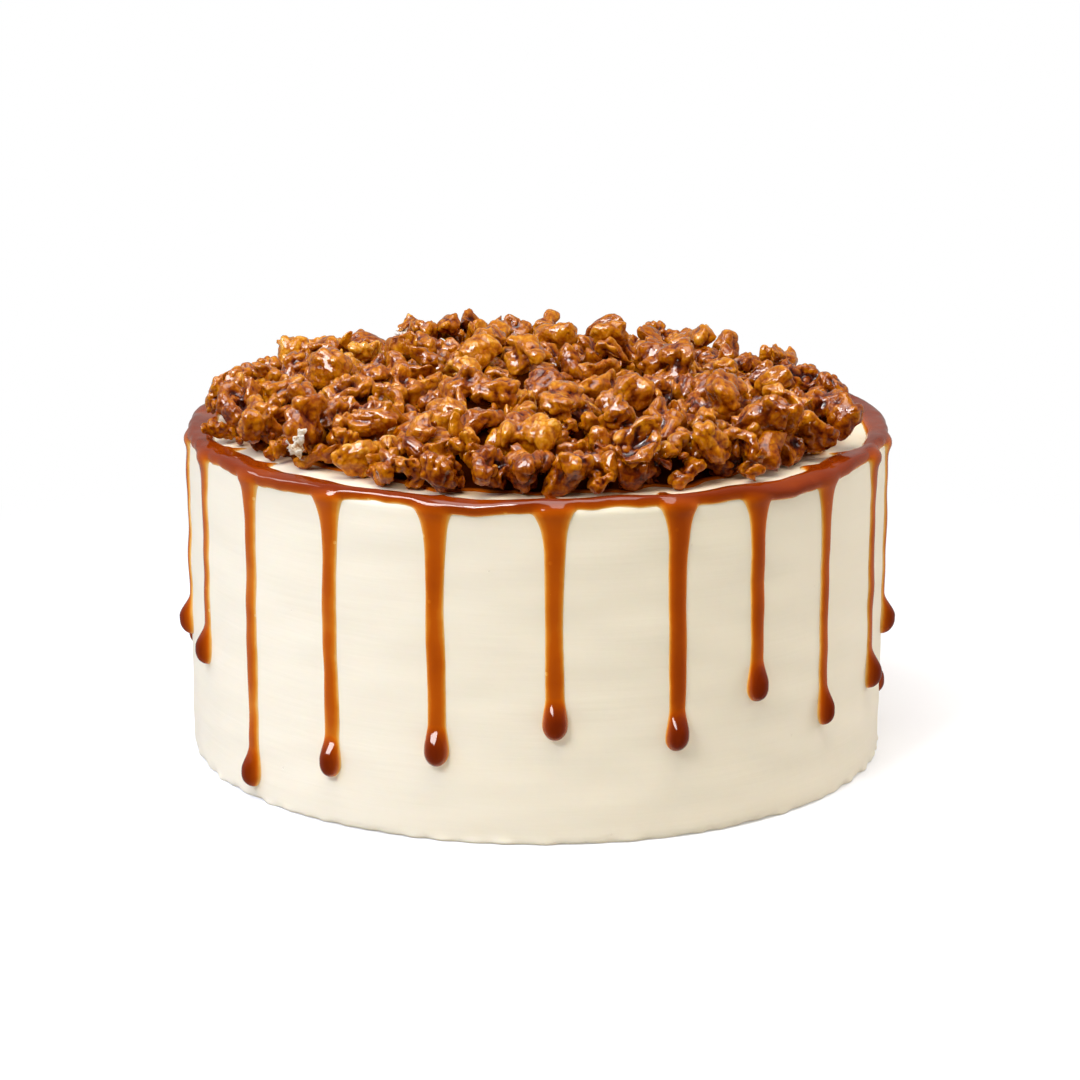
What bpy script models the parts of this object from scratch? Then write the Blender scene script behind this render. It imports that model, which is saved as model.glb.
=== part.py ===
"""A round frosted cake with a caramel drip and a heap of candied walnut pieces on top.

Two solids, in metres, +Z up, with the origin at the centre of the cake's foot:
frosted_cake is the cake in its smooth frosting, with the caramel band and its drips fused on.
walnut_topping is the heap of caramel-coated nut pieces, which lies on the cake's flat top.
"""

import math

import bmesh
import bpy
import numpy as np
from mathutils import Euler, Matrix, Vector

# The cake: a turned body, 204 mm across and 95 mm high.
CAKE_RADIUS = 0.102
CAKE_HEIGHT = 0.095
TOP_EDGE_RADIUS = 0.003
FOOT_CHAMFER = 0.001
TURN_STEPS = 72
CORNER_STEPS = 2
MERGE = 0.00001

# The caramel band: a tube laid in the top edge, thicker where a drip leaves it.
BAND_DEPTH = 0.0032
BAND_RADIUS = 0.0040
BAND_SWELL = 0.0005
BAND_POINTS_PER_GAP = 3
BAND_RESOLUTION = 2

# The drips: (degrees round the cake from the front, +X side positive; height of the lowest point in mm).
SEEN_DRIPS = (
    (-82.0, 34.0),
    (-67.5, 32.2),
    (-51.3, 3.8),
    (-33.6, 14.0),
    (-15.6, 21.5),
    (2.5, 30.0),
    (21.7, 25.0),
    (35.9, 35.5),
    (51.5, 22.5),
    (69.0, 25.0),
    (81.0, 35.5),
    (96.0, 8.5),
)
HIDDEN_DRIPS = 10
HIDDEN_JITTER = 2.2
HIDDEN_FEET = (6.0, 36.0)
DRIP_SEED = 11

# One drip: a funnel under the band, a thin run, and a hanging drop.
# The funnel's stations are (share of its length from the top, share of its width there).
RUN_WIDTH = 0.0050
RUN_RISE = 0.0009
FUNNEL_WIDTH = 0.0125
FUNNEL_LENGTH = 0.013
FUNNEL_STATIONS = ((0.0, 1.0), (0.25, 0.80), (0.60, 0.50))
TUBE_FLATNESS = 0.46
TUBE_SIDES = 6
DROP_WIDTH = 0.0062
DROP_RISE = 0.0040
DROP_LENGTH = 0.0120
DROP_SINK = 0.0012
DROP_BELOW_MIDDLE = 0.36
DROP_TAPER = 0.55
DROP_SEGMENTS = 6
DROP_RINGS = 5

# The heap: loose pieces dropped one by one, each settling where it lies lowest. Its edge is a round
# with waves, each of (number round the cake, height, shift), and one bulge over the band at the left.
HEAP_SEED = 248
PIECES = 290
EDGE_RADIUS = 0.0960
EDGE_WAVES = ((1, 0.0035, math.pi / 2), (3, 0.0014, 0.6), (5, 0.0012, 2.1), (8, 0.0010, 4.0))
LEFT_BULGE = 0.0045
LEFT_BULGE_AZIMUTH = math.radians(-84.0)
LEFT_BULGE_SPAN = math.radians(14.0)
OUTWARD = 0.36
HALF_LENGTH = (0.0048, 0.0091)
WIDTH_SHARE = (0.60, 0.86)
THICKNESS_SHARE = (0.50, 0.72)
TRIES = 20
CELL = 0.0015
SINK = 0.0026
DOME = 0.0045
DOME_POWER = 4
STEEPEST = math.radians(50.0)
BAND_INNER_RADIUS = CAKE_RADIUS - 0.0068
BAND_TOP = 0.0012

# What of the heap is built as a solid.
REST_GAP = 0.0003
FLOOR_STEPS = 9
FLOOR_STEP = 0.000015
BAND_CLEARANCE = 0.0012
CORE_RADIUS = 0.085
CORE_HEIGHT = 0.0080
CORE_EDGE_RADIUS = 0.0070
CORE_EDGE_STEPS = 3
CORE_STEPS = 36
SHOWING = 0.0008
NUT_SEGMENTS = 5
NUT_RINGS = 4
NUT_BEND = 0.35
BEND_MIDDLE = 0.5
LOBE_DEPTH = 0.16
LOBES_ALONG = 5.0
LOBES_ACROSS = 4.0
LOBE_TURN = 2.4

# Finishes: name, colour and roughness.
FROSTING = ("ivory frosting", (0.87, 0.79, 0.61), 0.55)
CARAMEL_NUT = ("caramel walnut", (0.42, 0.16, 0.035), 0.25)


def clear_scene():
    """Removes whatever the startup file holds."""
    for thing in list(bpy.data.objects):
        bpy.data.objects.remove(thing, do_unlink=True)
    for group in list(bpy.data.collections):
        bpy.data.collections.remove(group)


def new_collection(name):
    """A collection under the scene's own."""
    group = bpy.data.collections.new(name)
    bpy.context.scene.collection.children.link(group)
    return group


def material(name, colour, roughness):
    """A Principled material of one colour, with no metal in it."""
    made = bpy.data.materials.new(name)
    made.use_nodes = True
    shader = made.node_tree.nodes["Principled BSDF"]
    shader.inputs["Base Color"].default_value = (*colour, 1.0)
    shader.inputs["Roughness"].default_value = roughness
    shader.inputs["Metallic"].default_value = 0.0
    return made


def mesh_object(name, bm, group):
    """An object that holds the bmesh, linked to the collection; the bmesh is freed."""
    mesh = bpy.data.meshes.new(name)
    bm.to_mesh(mesh)
    bm.free()
    made = bpy.data.objects.new(name, mesh)
    group.objects.link(made)
    return made


def outline_object(name, points, group):
    """An open chain of edges in the XZ plane, for a Screw modifier to turn."""
    mesh = bpy.data.meshes.new(name)
    edges = [(i, i + 1) for i in range(len(points) - 1)]
    mesh.from_pydata([(x, 0.0, z) for x, z in points], edges, [])
    made = bpy.data.objects.new(name, mesh)
    group.objects.link(made)
    return made


def arc(centre, radius, start, end, steps):
    """Points on a round stretch of an outline, from one angle to the other, in degrees."""
    angles = [math.radians(start + (end - start) * i / steps) for i in range(steps + 1)]
    return [(centre[0] + radius * math.cos(a), centre[1] + radius * math.sin(a)) for a in angles]


def turned(name, points, steps, group):
    """A solid of revolution about Z; its outline runs down the outer side."""
    made = outline_object(name, points, group)
    screw = made.modifiers.new("Screw", "SCREW")
    screw.axis = "Z"
    screw.steps = steps
    screw.render_steps = steps
    screw.use_merge_vertices = True
    screw.merge_threshold = MERGE
    screw.use_normal_calculate = True
    return made


def evaluated_copy(source, name, group, weld=True):
    """A mesh object with what the source's modifiers or bevel make of it; the source is removed."""
    bpy.context.view_layer.update()
    graph = bpy.context.evaluated_depsgraph_get()
    mesh = bpy.data.meshes.new_from_object(source.evaluated_get(graph))
    made = bpy.data.objects.new(name, mesh)
    made.matrix_world = source.matrix_world.copy()
    group.objects.link(made)
    bpy.data.objects.remove(source, do_unlink=True)
    bm = bmesh.new()
    bm.from_mesh(mesh)
    if weld:
        bmesh.ops.remove_doubles(bm, verts=bm.verts, dist=MERGE)
    bmesh.ops.recalc_face_normals(bm, faces=bm.faces)
    bm.to_mesh(mesh)
    bm.free()
    return made


def sweep(name, points, radii, group, section=None, cyclic=False):
    """A tube along the points, with a radius at each, as a POLY curve made into a mesh.

    Its section is round unless a curve object is given for it.
    """
    curve = bpy.data.curves.new(name, "CURVE")
    curve.dimensions = "3D"
    curve.use_fill_caps = True
    curve.twist_mode = "Z_UP" if cyclic else "MINIMUM"
    if section is None:
        curve.bevel_depth = 1.0
        curve.bevel_resolution = BAND_RESOLUTION
    else:
        curve.bevel_mode = "OBJECT"
        curve.bevel_object = section
    spline = curve.splines.new("POLY")
    spline.points.add(len(points) - 1)
    for point, place, radius in zip(spline.points, points, radii):
        point.co = (*place, 1.0)
        point.radius = radius
    spline.use_cyclic_u = cyclic
    source = bpy.data.objects.new(name, curve)
    group.objects.link(source)
    return evaluated_copy(source, name, group)


def fuse(name, base, others, weld):
    """One Boolean union of the base with everything in the collection, which is then emptied.

    The result is welded only where that leaves it closed: on the heap's crossing faces it doesn't.
    """
    union = base.modifiers.new("Fuse", "BOOLEAN")
    union.operation = "UNION"
    union.operand_type = "COLLECTION"
    union.collection = others
    union.solver = "EXACT"
    group = base.users_collection[0]
    fused = evaluated_copy(base, name, group, weld)
    for piece in list(others.objects):
        bpy.data.objects.remove(piece, do_unlink=True)
    keep_largest_shell(fused)
    return fused


def keep_largest_shell(thing):
    """Fills sealed hollows and drops loose scraps: only the outer shell of the biggest body stays."""
    bm = bmesh.new()
    bm.from_mesh(thing.data)
    unseen = set(bm.faces)
    shells = []
    while unseen:
        front = [unseen.pop()]
        shell = set(front)
        while front:
            near = {f for e in front.pop().edges for f in e.link_faces} & unseen
            unseen -= near
            shell |= near
            front.extend(near)
        shells.append(shell)
    shells.sort(key=len, reverse=True)
    spare = [face for shell in shells[1:] for face in shell]
    bmesh.ops.delete(bm, geom=spare, context="FACES")
    bmesh.ops.triangulate(bm, faces=bm.faces)
    bm.to_mesh(thing.data)
    bm.free()
    print(f"{thing.name}: kept 1 of {len(shells)} shells, {len(thing.data.polygons)} triangles")


def cake_body(group):
    """The frosted cake: upright wall, rounded top edge, small chamfer at the foot."""
    corner = (CAKE_RADIUS - TOP_EDGE_RADIUS, CAKE_HEIGHT - TOP_EDGE_RADIUS)
    outline = [(0.0, CAKE_HEIGHT)]
    outline += arc(corner, TOP_EDGE_RADIUS, 90.0, 0.0, CORNER_STEPS)
    outline += [(CAKE_RADIUS, FOOT_CHAMFER), (CAKE_RADIUS - FOOT_CHAMFER, 0.0), (0.0, 0.0)]
    return evaluated_copy(turned("cake_body", outline, TURN_STEPS, group), "cake_body", group)


def all_drips():
    """(azimuth, foot height) of every drip, in radians and metres; the back ones follow a rule."""
    rng = np.random.default_rng(DRIP_SEED)
    drips = [(math.radians(a), foot / 1000) for a, foot in SEEN_DRIPS]
    last, first = drips[-1][0], drips[0][0] + 2 * math.pi
    step = (first - last) / (HIDDEN_DRIPS + 1)
    for i in range(HIDDEN_DRIPS):
        shift = math.radians(rng.uniform(-HIDDEN_JITTER, HIDDEN_JITTER))
        drips.append((last + step * (i + 1) + shift, rng.uniform(*HIDDEN_FEET) / 1000))
    return drips


def on_wall(azimuth, out, z):
    """The point at this azimuth, this far outside the wall, at this height."""
    reach = CAKE_RADIUS + out
    return Vector((reach * math.sin(azimuth), -reach * math.cos(azimuth), z))


def caramel_band(drips, group):
    """The band round the top edge: it swells at each drip and thins between them."""
    points, radii = [], []
    for i, (azimuth, _) in enumerate(drips):
        gap = (drips[(i + 1) % len(drips)][0] - azimuth) % (2 * math.pi)
        for k in range(BAND_POINTS_PER_GAP):
            share = k / BAND_POINTS_PER_GAP
            points.append(on_wall(azimuth + gap * share, -BAND_DEPTH, CAKE_HEIGHT - BAND_DEPTH))
            radii.append(BAND_RADIUS + BAND_SWELL * math.cos(2 * math.pi * share))
    return sweep("caramel_band", points, radii, group, cyclic=True)


def tube_section(group):
    """The flattened ellipse that a drip's tube has for its section, one unit from side to side."""
    curve = bpy.data.curves.new("tube_section", "CURVE")
    spline = curve.splines.new("POLY")
    spline.points.add(TUBE_SIDES - 1)
    for i, point in enumerate(spline.points):
        a = 2 * math.pi * (i + 0.5) / TUBE_SIDES
        point.co = (math.cos(a), TUBE_FLATNESS * math.sin(a), 0.0, 1.0)
    spline.use_cyclic_u = True
    made = bpy.data.objects.new("tube_section", curve)
    made.hide_render = True
    made.display_type = "WIRE"
    group.objects.link(made)
    return made


def drip_run(index, azimuth, foot, section, group):
    """The funnel and the run of one drip: a flat tube sunk in the wall, wide under the band."""
    top = CAKE_HEIGHT - BAND_DEPTH
    stations = [(top - down * FUNNEL_LENGTH, wide * FUNNEL_WIDTH) for down, wide in FUNNEL_STATIONS]
    stations += [(top - FUNNEL_LENGTH, RUN_WIDTH), (foot + DROP_LENGTH / 2, RUN_WIDTH)]
    points, radii = [], []
    for z, width in stations:
        half = width / 2
        points.append((0.0, -(CAKE_RADIUS + RUN_RISE - TUBE_FLATNESS * half), z))
        radii.append(half)
    made = sweep(f"drip_run_{index:02d}", points, radii, group, section=section)
    made.matrix_world = Matrix.Rotation(azimuth, 4, "Z") @ made.matrix_world
    return made


def drip_drop(index, azimuth, foot, group):
    """The drop that hangs at a drip's end: a ball drawn out upwards to a point."""
    bm = bmesh.new()
    bmesh.ops.create_uvsphere(bm, u_segments=DROP_SEGMENTS, v_segments=DROP_RINGS, radius=1.0)
    below = DROP_BELOW_MIDDLE * DROP_LENGTH
    for vertex in bm.verts:
        height = vertex.co.z
        taper = 1.0 - DROP_TAPER * max(0.0, height) ** 1.5
        vertex.co.x *= taper * DROP_WIDTH / 2
        vertex.co.y *= taper * (DROP_RISE + DROP_SINK) / 2
        vertex.co.z = height * (below if height < 0 else DROP_LENGTH - below)
    made = mesh_object(f"drip_drop_{index:02d}", bm, group)
    centre = on_wall(azimuth, (DROP_RISE - DROP_SINK) / 2, foot + below)
    made.matrix_world = Matrix.Translation(centre) @ Matrix.Rotation(azimuth, 4, "Z")
    return made


def frosted_cake(parts, helpers):
    """The cake, the caramel band and every drip, fused into one solid."""
    body = cake_body(parts)
    drips = all_drips()
    caramel_band(drips, helpers)
    section_home = new_collection("drip section")
    section = tube_section(section_home)
    for i, (azimuth, foot) in enumerate(drips):
        drip_run(i, azimuth, foot, section, helpers)
        drip_drop(i, azimuth, foot, helpers)
    bpy.data.objects.remove(section, do_unlink=True)
    bpy.data.collections.remove(section_home)
    cake = fuse("frosted_cake", body, helpers, weld=True)
    cake.data.materials.clear()
    cake.data.materials.append(material(*FROSTING))
    return cake


def heap_edge(azimuth):
    """How far the heap reaches at an azimuth: a wavy round, drawn out at the left."""
    reach = EDGE_RADIUS + sum(a * np.sin(n * azimuth + shift) for n, a, shift in EDGE_WAVES)
    turn = (azimuth - LEFT_BULGE_AZIMUTH + math.pi) % (2 * math.pi) - math.pi
    return reach + LEFT_BULGE * np.exp(-((turn / LEFT_BULGE_SPAN) ** 2))


def ellipsoid_faces(half, turn, dx, dy):
    """Lower and upper height of a turned ellipsoid over points (dx, dy), from its quadratic form."""
    form = turn @ np.diag(1.0 / half**2) @ turn.T
    b = form[0, 2] * dx + form[1, 2] * dy
    c = form[0, 0] * dx**2 + 2 * form[0, 1] * dx * dy + form[1, 1] * dy**2 - 1.0
    root = b**2 - form[2, 2] * c
    inside = root > 0
    root = np.sqrt(np.where(inside, root, 0.0))
    return inside, (-b - root) / form[2, 2], (-b + root) / form[2, 2]


def settle_pieces():
    """Drops the nut pieces on the cake's top one by one, each where it lies lowest of a few tries.

    The level under the pieces is a square grid of heights above the cake's top. A piece rests where
    its lower face first meets the level, sinks a little into soft caramel if it lies on others, and
    then raises the level to its own upper face. A try near the edge counts as higher, by up to DOME,
    so that the heap ends lower there.
    Returns each piece's place, half sizes and turn, and how deep its middle ends up buried.
    """
    rng = np.random.default_rng(HEAP_SEED)
    count = int(round(2 * CAKE_RADIUS / CELL))
    grid = (np.arange(count) - (count - 1) / 2) * CELL
    across, along = np.meshgrid(grid, grid, indexing="ij")
    level = np.where(np.hypot(across, along) > BAND_INNER_RADIUS, BAND_TOP, 0.0)
    window = int(math.ceil(HALF_LENGTH[1] / CELL))
    dx, dy = np.meshgrid(*[np.arange(-window, window + 1) * CELL] * 2, indexing="ij")
    pieces, spots, crowns = [], [], []
    for length in rng.uniform(*HALF_LENGTH, PIECES):
        half = length * np.array([1.0, rng.uniform(*WIDTH_SHARE), rng.uniform(*THICKNESS_SHARE)])
        tilt = STEEPEST * rng.uniform(-1, 1, 2)
        turn = np.array(Euler((*tilt, rng.uniform(0, 2 * math.pi))).to_matrix())
        inside, lower, upper = ellipsoid_faces(half, turn, dx, dy)
        azimuth = rng.uniform(-math.pi, math.pi, TRIES)
        reach = rng.random(TRIES) ** OUTWARD * (heap_edge(azimuth) - half[1])
        near_x = np.round(reach * np.sin(azimuth) / CELL + (count - 1) / 2).astype(int)
        near_y = np.round(-reach * np.cos(azimuth) / CELL + (count - 1) / 2).astype(int)
        tries = []
        for i, j in np.clip(np.stack([near_x, near_y], 1), window, count - 1 - window):
            under = level[i - window : i + window + 1, j - window : j + window + 1]
            rest = (under - lower)[inside].max()
            outer = math.hypot(grid[i], grid[j]) / EDGE_RADIUS
            tries.append((rest + DOME * outer**DOME_POWER, rest, i, j))
        _, z, i, j = min(tries)
        if z + lower[inside].min() > SINK:
            z -= SINK
        patch = level[i - window : i + window + 1, j - window : j + window + 1]
        patch[inside] = np.maximum(patch, z + upper)[inside]
        pieces.append((Vector((grid[i], grid[j], CAKE_HEIGHT + z)), half, turn))
        spots.append((i, j))
        crowns.append(z + upper[window, window])
    return pieces, level[tuple(np.transpose(spots))] - crowns


def nut_piece(index, place, half, turn, group):
    """One coated nut piece: a few-sided lump, bent along its length, with lobes round it."""
    bm = bmesh.new()
    bmesh.ops.create_uvsphere(bm, u_segments=NUT_SEGMENTS, v_segments=NUT_RINGS, radius=1.0)
    phase = LOBE_TURN * index
    rotation = Matrix(turn.tolist())
    floor = CAKE_HEIGHT + REST_GAP + FLOOR_STEP * (index % FLOOR_STEPS)
    for vertex in bm.verts:
        side, up, ahead = vertex.co
        lobes = math.sin(LOBES_ALONG * ahead + phase) * math.cos(LOBES_ACROSS * side - phase)
        grown = Vector((ahead, side, up)) * (1.0 + LOBE_DEPTH * lobes)
        grown.y += NUT_BEND * (ahead**2 - BEND_MIDDLE) * math.cos(phase)
        vertex.co = rotation @ Vector(grown[k] * half[k] for k in range(3)) + place
        outside = math.hypot(vertex.co.x, vertex.co.y) > BAND_INNER_RADIUS - BAND_CLEARANCE
        vertex.co.z = max(vertex.co.z, floor + (BAND_TOP + BAND_CLEARANCE if outside else 0.0))
    return mesh_object(f"nut_{index:03d}", bm, group)


def walnut_topping(parts, helpers):
    """The heap: a low core with every piece that shows fused on."""
    low = CAKE_HEIGHT + REST_GAP
    high = CAKE_HEIGHT + CORE_HEIGHT
    corner = (CORE_RADIUS - CORE_EDGE_RADIUS, high - CORE_EDGE_RADIUS)
    outline = [(0.0, high)] + arc(corner, CORE_EDGE_RADIUS, 90.0, 0.0, CORE_EDGE_STEPS)
    outline += [(CORE_RADIUS, low), (0.0, low)]
    core = evaluated_copy(turned("heap_core", outline, CORE_STEPS, parts), "heap_core", parts)
    for i, ((place, half, turn), buried) in enumerate(zip(*settle_pieces())):
        if buried < SHOWING:
            nut_piece(i, place, half, turn, helpers)
    print(f"{len(helpers.objects)} of {PIECES} pieces show")
    heap = fuse("walnut_topping", core, helpers, weld=False)
    heap.data.materials.clear()
    heap.data.materials.append(material(*CARAMEL_NUT))
    return heap


def main():
    clear_scene()
    parts = new_collection("caramel drip cake")
    helpers = new_collection("pieces to fuse")
    helpers.hide_render = True
    frosted_cake(parts, helpers)
    walnut_topping(parts, helpers)
    bpy.data.collections.remove(helpers)


main()
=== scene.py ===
"""The looks of a round cake in ivory frosting, with a caramel drip and a heap of candied walnuts.

Everything is in metres, +Z up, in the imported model's own frame: the cake stands on z = 0 with its
middle at the origin, and the side that the camera sees faces -Y. An azimuth starts there, and goes
up towards +X.
"""

import math

import bmesh
import bpy
import numpy as np
from mathutils import Euler, Matrix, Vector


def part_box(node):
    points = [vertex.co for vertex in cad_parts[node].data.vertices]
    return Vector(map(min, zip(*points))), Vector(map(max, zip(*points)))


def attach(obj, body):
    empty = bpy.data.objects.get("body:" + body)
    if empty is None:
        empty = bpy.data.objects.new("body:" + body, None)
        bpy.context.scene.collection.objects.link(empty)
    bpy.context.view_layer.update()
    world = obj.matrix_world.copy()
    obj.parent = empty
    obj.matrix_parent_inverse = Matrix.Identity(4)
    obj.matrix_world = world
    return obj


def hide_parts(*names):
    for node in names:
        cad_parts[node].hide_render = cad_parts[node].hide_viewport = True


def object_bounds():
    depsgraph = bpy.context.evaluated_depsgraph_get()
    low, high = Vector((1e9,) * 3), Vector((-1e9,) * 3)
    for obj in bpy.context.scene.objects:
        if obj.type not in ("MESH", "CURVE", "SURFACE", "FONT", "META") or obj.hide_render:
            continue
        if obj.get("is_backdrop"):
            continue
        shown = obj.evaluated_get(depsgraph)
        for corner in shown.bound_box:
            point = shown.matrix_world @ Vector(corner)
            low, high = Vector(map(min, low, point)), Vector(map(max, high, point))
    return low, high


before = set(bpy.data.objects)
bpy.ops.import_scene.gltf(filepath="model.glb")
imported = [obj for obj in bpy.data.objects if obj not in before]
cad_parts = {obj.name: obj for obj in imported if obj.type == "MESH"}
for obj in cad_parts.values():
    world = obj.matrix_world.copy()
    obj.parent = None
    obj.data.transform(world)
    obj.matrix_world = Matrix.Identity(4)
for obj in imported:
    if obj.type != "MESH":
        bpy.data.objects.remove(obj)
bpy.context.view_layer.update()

# --- Frosting ---
# The cake's skin of ivory cream frosting, put on thick and scraped smooth on a turntable. It is
# one closed shell turned round the upright axis, a little out of true, with a ragged foot.

MM = 0.001
REST_GAP = 0.3 * MM
CAKE_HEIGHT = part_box("walnut_topping")[0].z - REST_GAP
CAKE_RADIUS = 102 * MM
EDGE_RADIUS = 3 * MM
FOOT_RADIUS = 1.3 * MM
UNDER_RADIUS = 0.97 * CAKE_RADIUS
AROUND = 520
# The height and length of the wall's slow bow, of its scraper waves and of the foot's rags.
WALL_BOW = (0.15 * MM, 90 * MM)
SCRAPER_WAVES = (0.096 * MM, 30 * MM)
FOOT_RAGS = (0.35 * MM, 7 * MM)
RAGS_FADE = (0.2 * MM, 1.8 * MM)
WALL_START = (0.2 * MM, 2 * MM)
WALL_END = 9 * MM
# How far out the nuts reach. The frosting under them is browned: partly a caramel stain, partly painted
# shade.
HEAP_RADIUS = 96 * MM
HEAP_WAVES = ((1, 3.5 * MM, math.pi / 2), (3, 1.4 * MM, 0.6), (5, 1.2 * MM, 2.1), (8, 1.0 * MM, 4.0))
LEFT_BULGE = 4.5 * MM
BULGE_AZIMUTH = math.radians(-84)
BULGE_SPAN = math.radians(14)
STAIN_AND_SHADE_REACH = (-12 * MM, -4 * MM)
IVORY = ((0.87, 0.765, 0.56, 1), (0.89, 0.79, 0.59, 1))
PIT_SHADE = (0.55, 0.42, 0.27, 1)
STAIN_AND_SHADE_BROWN = (0.5, 0.21, 0.035, 1)


def waves(points, wavelength, seed, count=24):
    """Smooth random relief at the points, with mean 0 and variance 1.

    It is a sum of sine waves in random directions: sin(2 pi * (point . way) / length + phase).
    """
    rng = np.random.default_rng(seed)
    way = rng.normal(size=(count, 3))
    way /= np.linalg.norm(way, axis=1)[:, None]
    length = wavelength * rng.uniform(0.7, 1.4, count)
    phase = rng.uniform(0, math.tau, count)
    along = points @ (way * (math.tau / length)[:, None]).T
    return np.sin(along + phase).sum(-1) * math.sqrt(2 / count)


def smooth_step(value, low, high):
    """0 below low, 1 above high, and 3 t^2 - 2 t^3 between them."""
    t = np.clip((value - low) / (high - low), 0, 1)
    return t * t * (3 - 2 * t)


def bell(value, middle, width):
    """A rounded bump, e^-((value - middle) / width)^2."""
    return np.exp(-(((value - middle) / width) ** 2))


def turned(azimuth, start):
    """The turn from one azimuth to another, between -pi and pi."""
    return (azimuth - start + math.pi) % math.tau - math.pi


def scraped(points):
    """How far the frosting stands out from a true cylinder: a slow bow and low scraper waves on
    the wall, and a ragged foot."""
    height = points[..., 2]
    wall = smooth_step(height, *WALL_START) * (1 - smooth_step(height, CAKE_HEIGHT - WALL_END, CAKE_HEIGHT))
    low = 1 - smooth_step(height, *RAGS_FADE)
    low = low * (np.hypot(points[..., 0], points[..., 1]) > UNDER_RADIUS)
    bow = WALL_BOW[0] * waves(points * (1, 1, 0.4), WALL_BOW[1], 1)
    wave = SCRAPER_WAVES[0] * waves(points * (1, 1, 2.2), SCRAPER_WAVES[1], 2)
    return (bow + wave) * wall + FOOT_RAGS[0] * waves(points, FOOT_RAGS[1], 3) * low


def heap_edge(azimuth):
    """How far out the heap reaches at an azimuth: a circle with a few waves and one bulge."""
    reach = HEAP_RADIUS + sum(a * np.sin(n * azimuth + shift) for n, a, shift in HEAP_WAVES)
    return reach + LEFT_BULGE * bell(turned(azimuth, BULGE_AZIMUTH), 0, BULGE_SPAN)


def outward(azimuth):
    """The level direction away from the cake's axis at an azimuth."""
    return np.stack([np.sin(azimuth), -np.cos(azimuth), 0 * azimuth], -1)


def ladder(index):
    """The squares between the rows and the columns of a grid of point numbers."""
    return np.stack([index[:-1, :-1], index[1:, :-1], index[1:, 1:], index[:-1, 1:]], -1).reshape(-1, 4)


def rings_to_faces(rings, around):
    """Faces of a closed surface whose points run pole, rings of points, pole."""
    index = 1 + np.arange(rings * around).reshape(rings, around)
    index = np.hstack([index, index[:, :1]])
    column, after = index[[0, -1], :-1], index[[0, -1], 1:]
    top = np.stack([0 * column[0], column[0], after[0]], -1)
    end = np.stack([after[1], column[1], 0 * column[1] + rings * around + 1], -1)
    return ladder(index), np.vstack([top, end])


def placed(name, data):
    """A new object in the scene."""
    made = bpy.data.objects.new(name, data)
    bpy.context.scene.collection.objects.link(made)
    return made


def new_piece(name, points, faces, finish, slot, **marks):
    """A smooth object on the root body. Each mark is a number for every point, as an attribute."""
    mesh = bpy.data.meshes.new(name)
    corners = np.hstack([f.ravel() for f in faces]).astype(np.int32)
    sizes = np.hstack([np.full(len(f), f.shape[1]) for f in faces])
    starts = np.hstack([0, np.cumsum(sizes)[:-1]]).astype(np.int32)
    mesh.vertices.add(len(points))
    mesh.loops.add(len(corners))
    mesh.polygons.add(len(sizes))
    mesh.vertices.foreach_set("co", np.asarray(points, np.float32).ravel())
    mesh.loops.foreach_set("vertex_index", corners)
    mesh.polygons.foreach_set("loop_start", starts)
    mesh.polygons.foreach_set("use_smooth", np.ones(len(sizes), bool))
    mesh.update(calc_edges=True)
    mesh.validate()
    for mark, values in marks.items():
        kept = mesh.attributes.new(mark, "FLOAT", "POINT")
        kept.data.foreach_set("value", np.asarray(values, np.float32).ravel())
    piece = placed(name, mesh)
    mesh.materials.append(finish)
    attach(piece, "root")
    return piece


def feed(node, inputs=None, **named):
    """Links each input to the socket given for it, or sets it. A named one has _ for a space."""
    named = {key.replace("_", " "): value for key, value in named.items()}
    for key, value in {**(inputs or {}), **named}.items():
        if isinstance(value, bpy.types.NodeSocket):
            node.id_data.links.new(value, node.inputs[key])
        else:
            node.inputs[key].default_value = value


def add_node(tree, kind, inputs=None, **settings):
    """A node of the tree, with its inputs and settings."""
    made = tree.nodes.new(kind)
    for key, value in settings.items():
        setattr(made, key, value)
    feed(made, inputs)
    return made


def calc(tree, operation, first, second=0.0, third=0.0):
    """The result of one Math node."""
    return add_node(tree, "ShaderNodeMath", {0: first, 1: second, 2: third}, operation=operation).outputs[0]


def scaled(tree, value, factor, start=0.0):
    """A value times a factor, added to a start."""
    return calc(tree, "MULTIPLY_ADD", value, factor, start)


def mixed(tree, share, first, second):
    """The colour between two others, by a share from 0 to 1."""
    return add_node(tree, "ShaderNodeMix", {0: share, 6: first, 7: second}, data_type="RGBA").outputs[2]


def ramp(tree, value, stops):
    """A colour read from stops of (place from 0 to 1, colour)."""
    made = add_node(tree, "ShaderNodeValToRGB", {0: value})
    band = made.color_ramp.elements
    while len(band) < len(stops):
        band.new(0.5)
    for stop, (place, colour) in zip(band, stops):
        stop.position = place
        stop.color = (*colour, 1.0)
    return made.outputs[0]


def ranged(tree, value, seen, given=(0.0, 1.0), kind="SMOOTHSTEP"):
    """A number that goes through the given range as the value goes through the seen one."""
    inputs = {0: value, 1: seen[0], 2: seen[1], 3: given[0], 4: given[1]}
    return add_node(tree, "ShaderNodeMapRange", inputs, interpolation_type=kind).outputs["Result"]


def marked(tree, mark):
    """The value of a mark that a piece's points carry."""
    return add_node(tree, "ShaderNodeAttribute", attribute_name=mark).outputs["Fac"]


def new_finish(name, **inputs):
    """A Principled material, its node tree and its shader."""
    made = bpy.data.materials.new(name)
    made.use_nodes = True
    shader = made.node_tree.nodes["Principled BSDF"]
    feed(shader, **inputs)
    return made, made.node_tree, shader


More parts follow.
